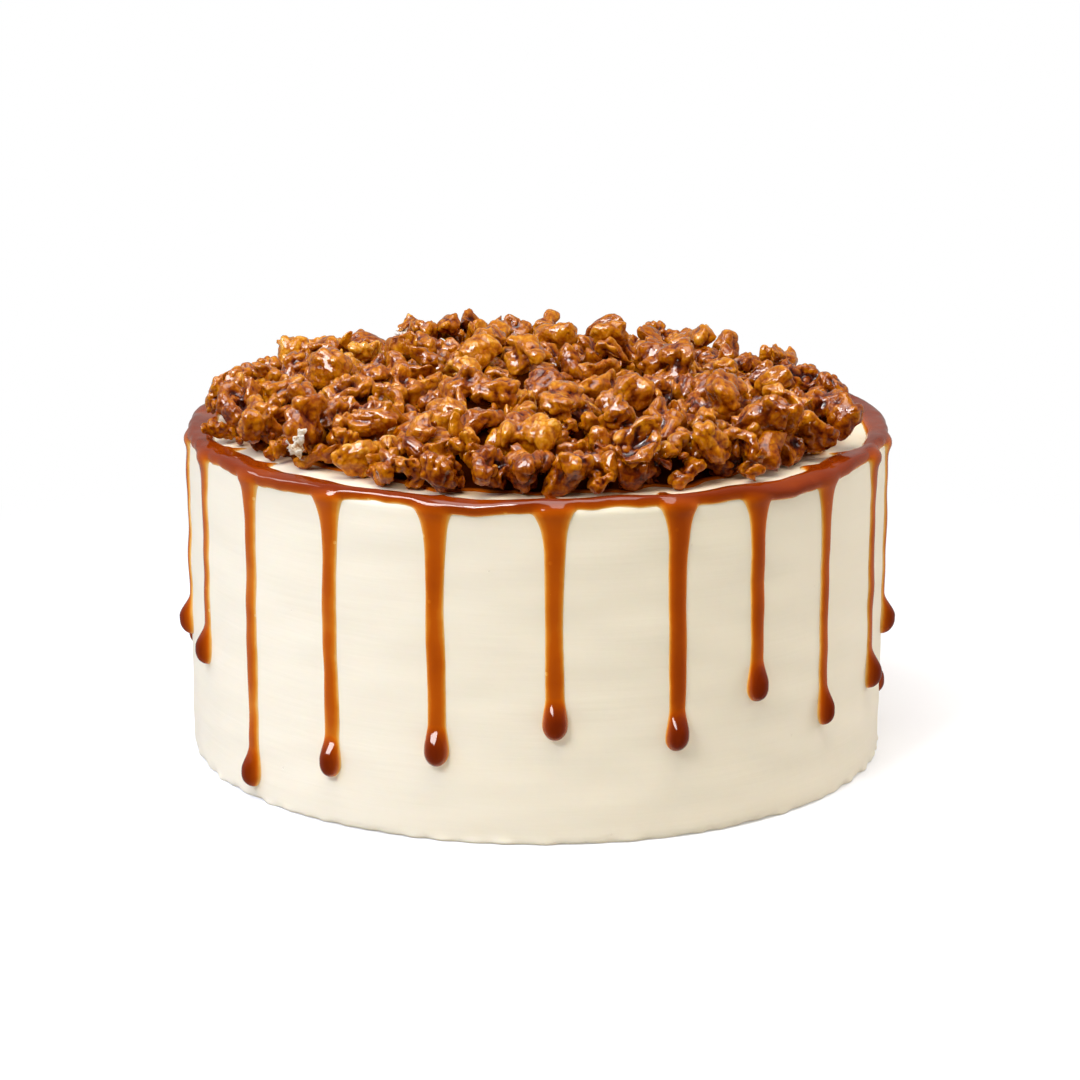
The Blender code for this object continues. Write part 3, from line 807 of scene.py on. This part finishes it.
def kernel_lump(rng, half, arc, knobs, ridges, cuts, grain, furrow):
    """A broken piece of kernel: lobed ridges along an arc, or a cupped plate with a thick rim.

    The half sizes and the grain are in mm, the arc is how far it bends, in radians, and the cuts
    are flat broken faces; no ridges means a plate. Furrows wind where a slow wave is near 0:
    sqrt(wave^2 + 0.01), cut off above. It gives the points, fitted to the half sizes, the squares,
    and how deep in a crease each point is.
    """
    middles, radii, ridge = ridge_balls(rng, half, arc, ridges) if ridges else plate_balls(rng, half)
    points, squares, normals = glazed(*knobbed(rng, middles, radii, ridge, knobs), grain)
    shift = rng.uniform(-500, 500, 3)
    wave = waves(points * (0.65, 1, 1) + shift, FURROW_LENGTH, 21, 12)
    fold = np.minimum(np.sqrt(wave**2 + 0.01), 1.1) - 0.7
    swell = LOBES[0] * waves(points + shift, LOBES[1], 23, 12)
    swell = swell + GRIT[0] * waves(points + shift, GRIT[1], 22, 16)
    deep = furrow * rng.uniform(0.5, 1.3)
    for _ in range(cuts):
        way = rng.normal(size=3) * (1.2, 1, 0.7)
        way /= np.linalg.norm(way)
        over = points @ way
        over -= np.quantile(over, rng.uniform(*CUT_PLACE))
        points = points - np.maximum(over, 0)[:, None] * way * CUT_SHARE
    points = points + normals * (deep * fold + swell)[:, None]
    points = points * 0.5 + blurred(points, squares, 1) * 0.5
    dent = ((blurred(points, squares, 6) - points) * normals).sum(1) / 0.35
    low, high = points.min(0), points.max(0)
    points = (points - (low + high) / 2) / ((high - low) / 2) * half
    return points, squares, np.clip(dent, -1, 1)


def joined(lumps):
    """Lumps of (points, squares) as one array of points and one of squares."""
    starts = np.cumsum([0, *(len(points) for points, _ in lumps)])
    squares = [squares + start for (_, squares), start in zip(lumps, starts)]
    return np.vstack([points for points, _ in lumps]), np.vstack(squares)


def pooled_and_shaded(points):
    """How much darker each point is low in the heap: partly caramel that ran down, partly painted shade."""
    return POOLED_AND_SHADED_DARK * (1 - smooth_step(points[:, 2] - CAKE_HEIGHT, *POOLED_AND_SHADED_HEIGHT))


def candied(name):
    """The finish of a kind of walnut piece: roasted kernel under a clear brown coat of caramel."""
    made, tree, shader = new_finish(
        name, Specular_IOR_Level=0.12, Coat_IOR=1.42, Coat_Roughness=0.04,
        Subsurface_Weight=0.1, Subsurface_Radius=(0.003, 0.0011, 0.0002), Subsurface_Scale=1.0,
    )
    place = object_place(tree)
    crease = marked(tree, "crease")
    patch, speck, wind = (
        calc(tree, "SUBTRACT", mottled(tree, place, size * MM, detail), 0.5)
        for size, detail in ((3.8, 2.0), (1.4, 2.0), (3.4, 1.0))
    )
    furrow = calc(tree, "SMOOTH_MIN", scaled(tree, calc(tree, "ABSOLUTE", wind), 9.0), 1.0, 0.3)
    # The tone mark carries painted shade, low in the heap and on the right.
    tone = scaled(tree, patch, 0.7, marked(tree, "roast_and_shade"))
    tone = scaled(tree, speck, 0.72, tone)
    # Darker along the furrows and in the creases, partly thicker caramel and partly painted shade; lighter
    # on the ridges.
    tone = scaled(tree, calc(tree, "SUBTRACT", furrow, 0.7), 0.15, tone)
    tone = scaled(tree, calc(tree, "MAXIMUM", crease, 0.0), -0.5, tone)
    tone = scaled(tree, calc(tree, "MINIMUM", crease, 0.0), -0.16, tone)
    feed(shader, Base_Color=ramp(tree, tone, NUT_STOPS), Roughness=scaled(tree, patch, 0.25, 0.11))
    height = add_node(tree, "ShaderNodeSeparateXYZ", {0: place}).outputs["Z"]
    relief = scaled(tree, furrow, 0.35, mottled(tree, place, 1.6 * MM, 3.0))
    normal = bumped(tree, relief, 0.42 * MM)
    feed(shader, Coat_Weight=ranged(tree, height, COAT_RISE, COAT_GLOSS), Normal=normal)
    return made


def relief_place(points):
    """The cell of the relief that each point is over."""
    cell = np.round(points[..., :2] / RELIEF_CELL).astype(int) + RELIEF_CELLS // 2
    return np.clip(cell, 0, RELIEF_CELLS - 1)


def candied_piece(kind, lumps, roast_and_shade, crease):
    """The kernels of one kind as one piece in its own finish, added to the heap's relief."""
    points, squares = joined(lumps)
    marks = dict(roast_and_shade=np.hstack(roast_and_shade), crease=np.hstack(crease))
    piece = new_piece(kind, points, [squares], candied(kind), "caramel_walnut", **marks)
    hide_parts("walnut_topping")
    np.maximum.at(relief, tuple(relief_place(points).T), points[:, 2] - CAKE_HEIGHT)


relief = np.zeros((RELIEF_CELLS, RELIEF_CELLS))
middles, halves, turns, buried = settle_heap()
kind_of = np.random.default_rng(77).permutation(np.arange(PIECES) % len(KINDS))
for number, (kind, arcs, knobs, ridges, cuts) in enumerate(KINDS):
    rng = np.random.default_rng(100 + 10 * number)
    fine_stock, coarse_stock = [], []
    for _ in range(STOCK):
        half = STOCK_HALF * np.array([1.0, rng.uniform(*WIDTH_SHARE), rng.uniform(*THICKNESS_SHARE)])
        shape = rng.integers(1 << 30)
        plan = half, rng.uniform(*arcs), int(rng.integers(*knobs)), ridges, int(rng.integers(*cuts))
        fine_stock.append(kernel_lump(np.random.default_rng(shape), *plan, *FINE))
        coarse_stock.append(kernel_lump(np.random.default_rng(shape), *plan, *COARSE))
    lumps, roast_and_shade, crease = [], [], []
    for i in np.flatnonzero(kind_of == number):
        stock = fine_stock if buried[i] < BURIED else coarse_stock
        lump, squares, dent = stock[rng.integers(STOCK)]
        mirror = rng.choice([-1, 1], 3)
        lump = lump * mirror * (halves[i] / np.abs(lump).max(0)) * LUMP_STRETCH
        squares = squares if mirror.prod() > 0 else squares[:, ::-1]
        lump = lump @ turns[i].T + middles[i]
        half_height = np.linalg.norm(halves[i] * turns[i][2])
        low, high = lump[:, 2].min(), lump[:, 2].max()
        lump[:, 2] = middles[i, 2] + half_height * ((lump[:, 2] - low) / (high - low) * 2 - 1)
        lump[:, 2] = CAKE_HEIGHT + (lump[:, 2] - CAKE_HEIGHT) * HEAP_STRETCH
        lump[:, 2] = np.maximum(lump[:, 2], FLAT_FOOT)
        lumps.append((lump, squares))
        # Painted shade: darker towards the right, away from the lamps at the left.
        shaded = SHADED_DARK * smooth_step(lump[:, 0], *SHADED_SIDE)
        # Darker low in the heap, partly caramel that ran down and partly painted shade.
        roast_and_shade.append(rng.normal(*ROAST) - pooled_and_shaded(lump) - shaded)
        crease.append(dent)
    candied_piece(kind, lumps, roast_and_shade, crease)

# --- Walnut crumbs ---
# Small bits that broke off the kernels, in the same coat of caramel. They lie in the hollows
# between the larger pieces and round the foot of the heap.

BITS = 150
BIT_HALF = (4.0, 6.2)
BIT_ROAST = 0.56
CRUMBS = 340
CRUMB_HALF = (1.6, 4.0)
CRUMB_ROAST = 0.57
CRUMB_INSET = 9 * MM
FOOT_STRIP = 11.5 * MM
STREWN_SEED = 31
SPOTS = 6000
# Crumbs that close a hole at the back: their places, and heights on the cake.
HOLE_CRUMBS = np.array([(73.2, 45.0, 9.5), (72.0, 46.5, 9.2), (73.8, 44.5, 8.3)]) * MM


def softened(relief, cells):
    """A relief blurred by a bell curve, along one axis and then along the other."""
    reach = np.arange(-3 * int(cells), 3 * int(cells) + 1)
    curve = np.exp(-0.5 * (reach / cells) ** 2)
    for axis in (0, 1):
        relief = np.apply_along_axis(np.convolve, axis, relief, curve / curve.sum(), mode="same")
    return relief


smooth_relief = softened(relief, 5)
wide_relief = softened(relief, 9)
rng = np.random.default_rng(STREWN_SEED)
azimuth = rng.uniform(-math.pi, math.pi, SPOTS)
reach = np.sqrt(rng.random(SPOTS)) * heap_edge(azimuth)
spot = reach[:, None] * outward(azimuth)[:, :2]
at = tuple(relief_place(spot).T)
from_edge = heap_edge(azimuth) - reach


def strewn(kind, number, gap, inset, blur, halves, lowest, stock, roast_mean, first=(), last=()):
    """Lays small lumps of a stock in the deepest hollows of the heap, as one piece of that kind.

    They are a gap apart and an inset from the heap's edge. Each rests on the blurred relief, no
    deeper under the heap's mean face than the lowest share of its size. The first spots are filled
    before the hollows, and the last places in any case.
    """
    soft = softened(relief, blur)
    hollow = soft[at] - wide_relief[at] - 0.004 * (reach / heap_edge(azimuth)) ** 8
    hollow[from_edge < inset] = 1.0
    free, chosen = from_edge >= inset, []
    for i in [*first, *np.argsort(hollow)]:
        if len(chosen) < number and free[i]:
            chosen.append(i)
            free &= np.linalg.norm(spot - spot[i], axis=1) >= gap
    lumps, roast_and_shade, crease = [], [], []
    for x, y, rest in [(*spot[i], None) for i in chosen] + [*last]:
        lump, squares, dent = stock[rng.integers(len(stock))]
        lump = blurred(lump, squares, 3)
        size = rng.uniform(*halves) * MM
        turn = np.array(Euler(rng.uniform(0, math.tau, 3)).to_matrix())
        lump = lump / np.abs(lump).max() * size @ turn.T
        if rest is None:
            here = tuple(relief_place(np.array([x, y])))
            rest = max(soft[here] + 0.1 * size, wide_relief[here] - lowest * size)
            rest = max(min(rest, wide_relief[here] + 0.2 * size), 0.6 * size)
        lump = lump + [x, y, CAKE_HEIGHT + rest]
        lump[:, 2] = np.maximum(lump[:, 2], FLAT_FOOT)
        lumps.append((lump, squares))
        # Darker low in the heap, partly caramel that ran down and partly painted shade.
        roast_and_shade.append(rng.normal(roast_mean, 0.12) - pooled_and_shaded(lump))
        crease.append(dent)
    candied_piece(kind, lumps, roast_and_shade, crease)


bit_stock, crumb_stock = [], []
for number in range(STOCK):
    half = 5.0 * np.array([1.0, rng.uniform(0.6, 0.9), rng.uniform(0.5, 0.8)])
    plan = half, rng.uniform(0, 1.4), int(rng.integers(3, 8)), 1 + number % 2, 1
    bit_stock.append(kernel_lump(rng, *plan, 0.76, 0.45))
for _ in range(STOCK):
    half = 3.0 * np.array([1.0, rng.uniform(0.6, 0.9), rng.uniform(0.5, 0.8)])
    plan = half, rng.uniform(0, 1.2), int(rng.integers(2, 6)), 1, 1
    crumb_stock.append(kernel_lump(rng, *plan, 0.58, 0.3))
strewn("walnut_bits", BITS, 8 * MM, 13 * MM, 3, BIT_HALF, 0.9, bit_stock, BIT_ROAST)
foot = np.flatnonzero((from_edge > CRUMB_INSET) & (from_edge < FOOT_STRIP))
plan = CRUMBS, 3.6 * MM, CRUMB_INSET, 2, CRUMB_HALF, 9.0, crumb_stock, CRUMB_ROAST
strewn("walnut_crumbs", *plan, foot, HOLE_CRUMBS)

# --- Frosting among the nuts ---
# Two crumbly bits of the frosting, picked up by the nuts: one stands between them at the front
# left, and one lies at the back.

# Each bit's middle and half sizes, in mm.
DABS = (((-66.1, -66.4, 103.6), (2.6, 2.3, 3.9)), ((-42.2, 69.6, 107.6), (3.0, 2.0, 1.7)))
DAB_STOPS = ((0.3, (0.34, 0.14, 0.03)), (0.4, (0.78, 0.6, 0.38)), (0.58, (0.95, 0.86, 0.7)))

lumps = []
for number, (middle, half) in enumerate(DABS):
    rng = np.random.default_rng(5 + number)
    lump, squares, _ = kernel_lump(rng, np.array(half[::-1]), 0.4, 26, 2, 0, 0.42, 0.5)
    lump = lump[:, ::-1] * (1, -1, 1)
    lump = lump * (1 + 0.1 * waves(lump, 1.6, 51) + 0.05 * waves(lump, 0.9, 52))[:, None]
    lumps.append(((lump + middle) * MM, squares))
points, squares = joined(lumps)
crumbly, tree, shader = new_finish("crumbly frosting", Roughness=0.6, Specular_IOR_Level=0.3)
place = object_place(tree)
tint = ramp(tree, mottled(tree, place, 1.6 * MM, 2.5), DAB_STOPS)
feed(shader, Base_Color=tint, Normal=bumped(tree, mottled(tree, place, 1.0 * MM, 3.0), 1.5 * MM))
new_piece("frosting_dabs", points, [squares], crumbly, "ivory_frosting")

# --- Caramel among the nuts ---
# The caramel that the nuts were tossed in has run down and set between them. It is one closed
# body under the heap, high between the pieces, and thin where it seeps out at the foot. Its near-black
# colour is partly that of dark caramel, partly painted shade in the gaps.

BED_RINGS = 90
BED_AROUND = 260
BED_INSET = 12.0
BED_FOOT = CAKE_HEIGHT - 0.4 * MM
# How far its top is under the heap's own, how thick it is where it seeps out, and how it rises
# inwards from there, in mm.
BED_BELOW = 3.2
SEEP_HEIGHT = 0.55
SEEP_ROUND = 1.1
SEEP_WIDTH = 2.6
BED_SLOPE = 0.75
BED_DARK_AND_SHADE = ((0.01, 0.0011, 0.0001, 1), (0.06, 0.0085, 0.0003, 1))
BED_THIN = (0.42, 0.085, 0.002, 1)

azimuth = np.linspace(0, math.tau, BED_AROUND, endpoint=False)
ring = outward(azimuth)
rim = heap_edge(azimuth) + (waves(ring * 96, 17.0, 41) * 1.2 - BED_INSET) * MM
share = np.linspace(0, 1, BED_RINGS + 1)[1:] ** 0.7
place = ring * (rim * share[:, None])[..., None]
inside = (rim * (1 - share[:, None])) / MM
edge = SEEP_HEIGHT * rounded(inside / SEEP_ROUND) + BED_SLOPE * np.maximum(inside - SEEP_WIDTH, 0)
bed = smooth_relief[tuple(np.moveaxis(relief_place(place), -1, 0))] / MM - BED_BELOW
bed = bed + 0.9 * waves(place / MM, 12.0, 42)
place[..., 2] = CAKE_HEIGHT + np.minimum(np.maximum(bed, 0.4), edge) * MM
underside = place[::-3] * (1, 1, 0) + [0, 0, BED_FOOT]
rows = np.vstack([place, underside])
top = CAKE_HEIGHT + smooth_relief[RELIEF_CELLS // 2, RELIEF_CELLS // 2] - BED_BELOW * MM
points = np.vstack([[0, 0, top], rows.reshape(-1, 3), [0, 0, BED_FOOT]])
depth = np.hstack([9, inside.ravel(), inside[::-3].ravel(), 9])
sauce_and_shade, tree, shader = new_finish("set caramel and painted shade", Roughness=0.3, Specular_IOR_Level=0.0)
place = object_place(tree)
# Near black where it is thick: partly dark caramel, partly painted shade in the gaps.
dark = mixed(tree, mottled(tree, place, 9 * MM), *BED_DARK_AND_SHADE)
thick = ranged(tree, marked(tree, "depth"), (0.2, 2.2), kind="LINEAR")
normal = bumped(tree, mottled(tree, place, 4 * MM), 0.6 * MM)
feed(shader, Base_Color=mixed(tree, thick, BED_THIN, dark), Normal=normal)
faces = rings_to_faces(len(rows), BED_AROUND)
piece = new_piece("caramel_bed", points, faces, sauce_and_shade, "caramel", depth=depth)
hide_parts("walnut_topping")

# --- Stage, light and camera ---
# A round white floor that turns into plain light away from the cake, a white room, soft lamps
# round the front, and the camera at the photograph's place.

FLOOR_RADIUS = 0.62
FLOOR_SIDES = 96
# The distances at which the floor starts to shine and shines in full.
FLOOR_GLOW = (0.1, 0.34)
FLOOR_START = 0.18
WHITE_PAPER = (0.93, 0.93, 0.93, 1)
# How much of the light that meets the floor near the cake goes on to the cake.
FLOOR_BOUNCE = (0.6, 0.6, 0.6, 1)
BLACK = (0, 0, 0, 1)
WHITE = (1, 1, 1, 1)
# The room's light, dim in front and brighter behind, by the way that a ray goes.
ROOM_TURN = (-0.75, 0.35)
ROOM_LIGHT = (0.035, 0.33)
ROOM_TINT = (1.0, 0.985, 0.965, 1)
LIGHT_TARGET = (0, 0, 60 * MM)

floor_mesh = bpy.data.meshes.new("floor")
rim = FLOOR_RADIUS * outward(np.linspace(0, math.tau, FLOOR_SIDES, endpoint=False))
floor_mesh.from_pydata(rim.tolist(), [], [tuple(range(FLOOR_SIDES))])
floor = placed("floor", floor_mesh)
white, tree, shader = new_finish("white floor", Roughness=0.8, Specular_IOR_Level=0.0, Emission_Strength=1.0)
away = add_node(tree, "ShaderNodeVectorMath", {0: object_place(tree)}, operation="LENGTH").outputs["Value"]
glow = ranged(tree, away, FLOOR_GLOW, (FLOOR_START, 1.0))
straight = add_node(tree, "ShaderNodeLightPath").outputs["Is Camera Ray"]
near = mixed(tree, straight, FLOOR_BOUNCE, WHITE_PAPER)
lit = mixed(tree, glow, BLACK, WHITE)
feed(shader, Base_Color=mixed(tree, glow, near, BLACK), Emission_Color=lit)
floor_mesh.materials.append(white)
floor.visible_glossy = False
floor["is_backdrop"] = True

world = bpy.data.worlds.new("white room")
world.use_nodes = True
tree = world.node_tree
way = add_node(tree, "ShaderNodeTexCoord").outputs["Generated"]
way = add_node(tree, "ShaderNodeSeparateXYZ", {0: way}).outputs["Y"]
room = tree.nodes["Background"]
feed(room, Color=ROOM_TINT, Strength=ranged(tree, way, ROOM_TURN, ROOM_LIGHT))
paper = add_node(tree, "ShaderNodeBackground", {"Color": WHITE, "Strength": 1.0})
straight = add_node(tree, "ShaderNodeLightPath").outputs["Is Camera Ray"]
both = add_node(tree, "ShaderNodeMixShader", {0: straight, 1: room.outputs[0], 2: paper.outputs[0]})
feed(tree.nodes["World Output"], Surface=both.outputs[0])
bpy.context.scene.world = world


def soft_light(name, azimuth, elevation, distance, size, power, colour=(1, 1, 1), sees="both"):
    """A soft light of a width and height that looks at the cake's middle. It lights both, matt or
    gloss."""
    lamp = bpy.data.lights.new(name, "AREA")
    lamp.shape = "RECTANGLE"
    lamp.size, lamp.size_y = size
    lamp.energy = power
    lamp.color = colour
    made = placed(name, lamp)
    a, e = math.radians(azimuth), math.radians(elevation)
    back = outward(a) * math.cos(e) + [0, 0, math.sin(e)]
    made.location = back * distance + LIGHT_TARGET
    made.rotation_euler = (math.radians(90 - elevation), 0, a)
    made.visible_glossy = sees != "matt"
    made.visible_diffuse = sees != "gloss"
    made.visible_camera = False


COOL = (0.86, 1.12, 1.95)
WARM = (1.0, 0.97, 0.88)
soft_light("key", -35, 40, 1.4, (0.42, 0.42), 9.2, (1.0, 1.03, 1.12), "matt")
soft_light("key in the gloss", -42, 40, 1.4, (1.1, 0.42), 32.0, (1.0, 0.98, 0.97), "gloss")
soft_light("small lamp in the gloss", -18, 50, 1.4, (0.17, 0.17), 6.0, sees="gloss")
soft_light("ceiling", 0, 78, 1.3, (0.95, 0.95), 15, (1.0, 0.98, 0.96))
soft_light("left back light", -112, 42, 1.4, (0.35, 0.35), 2.6)
soft_light("left fill", -75, 35, 1.4, (0.9, 0.9), 5.2, COOL, "matt")
soft_light("right fill", 60, 30, 1.8, (1.2, 1.2), 4.5, WARM, "matt")
soft_light("right back fill", 108, 20, 1.8, (1.0, 1.0), 12.0, (1.0, 1.0, 1.18), "matt")

CAMERA_PLACE = (0.00072, -0.95, 0.30805)
CAMERA_PITCH = 0.2563
CAMERA_ROLL = 0.0039
FOCAL_PIXELS = 3312.8
PICTURE_PIXELS = 1080
camera = bpy.data.cameras.new("camera")
camera.sensor_width = 36.0
camera.lens = FOCAL_PIXELS / PICTURE_PIXELS * camera.sensor_width
camera_object = placed("camera", camera)
camera_object.location = CAMERA_PLACE
tilt = Matrix.Rotation(math.pi / 2 - CAMERA_PITCH, 3, "X")
camera_object.rotation_euler = (tilt @ Matrix.Rotation(CAMERA_ROLL, 3, "Z")).to_euler()
bpy.context.scene.camera = camera_object
bpy.context.scene.view_settings.view_transform = "Standard"

low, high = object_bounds()
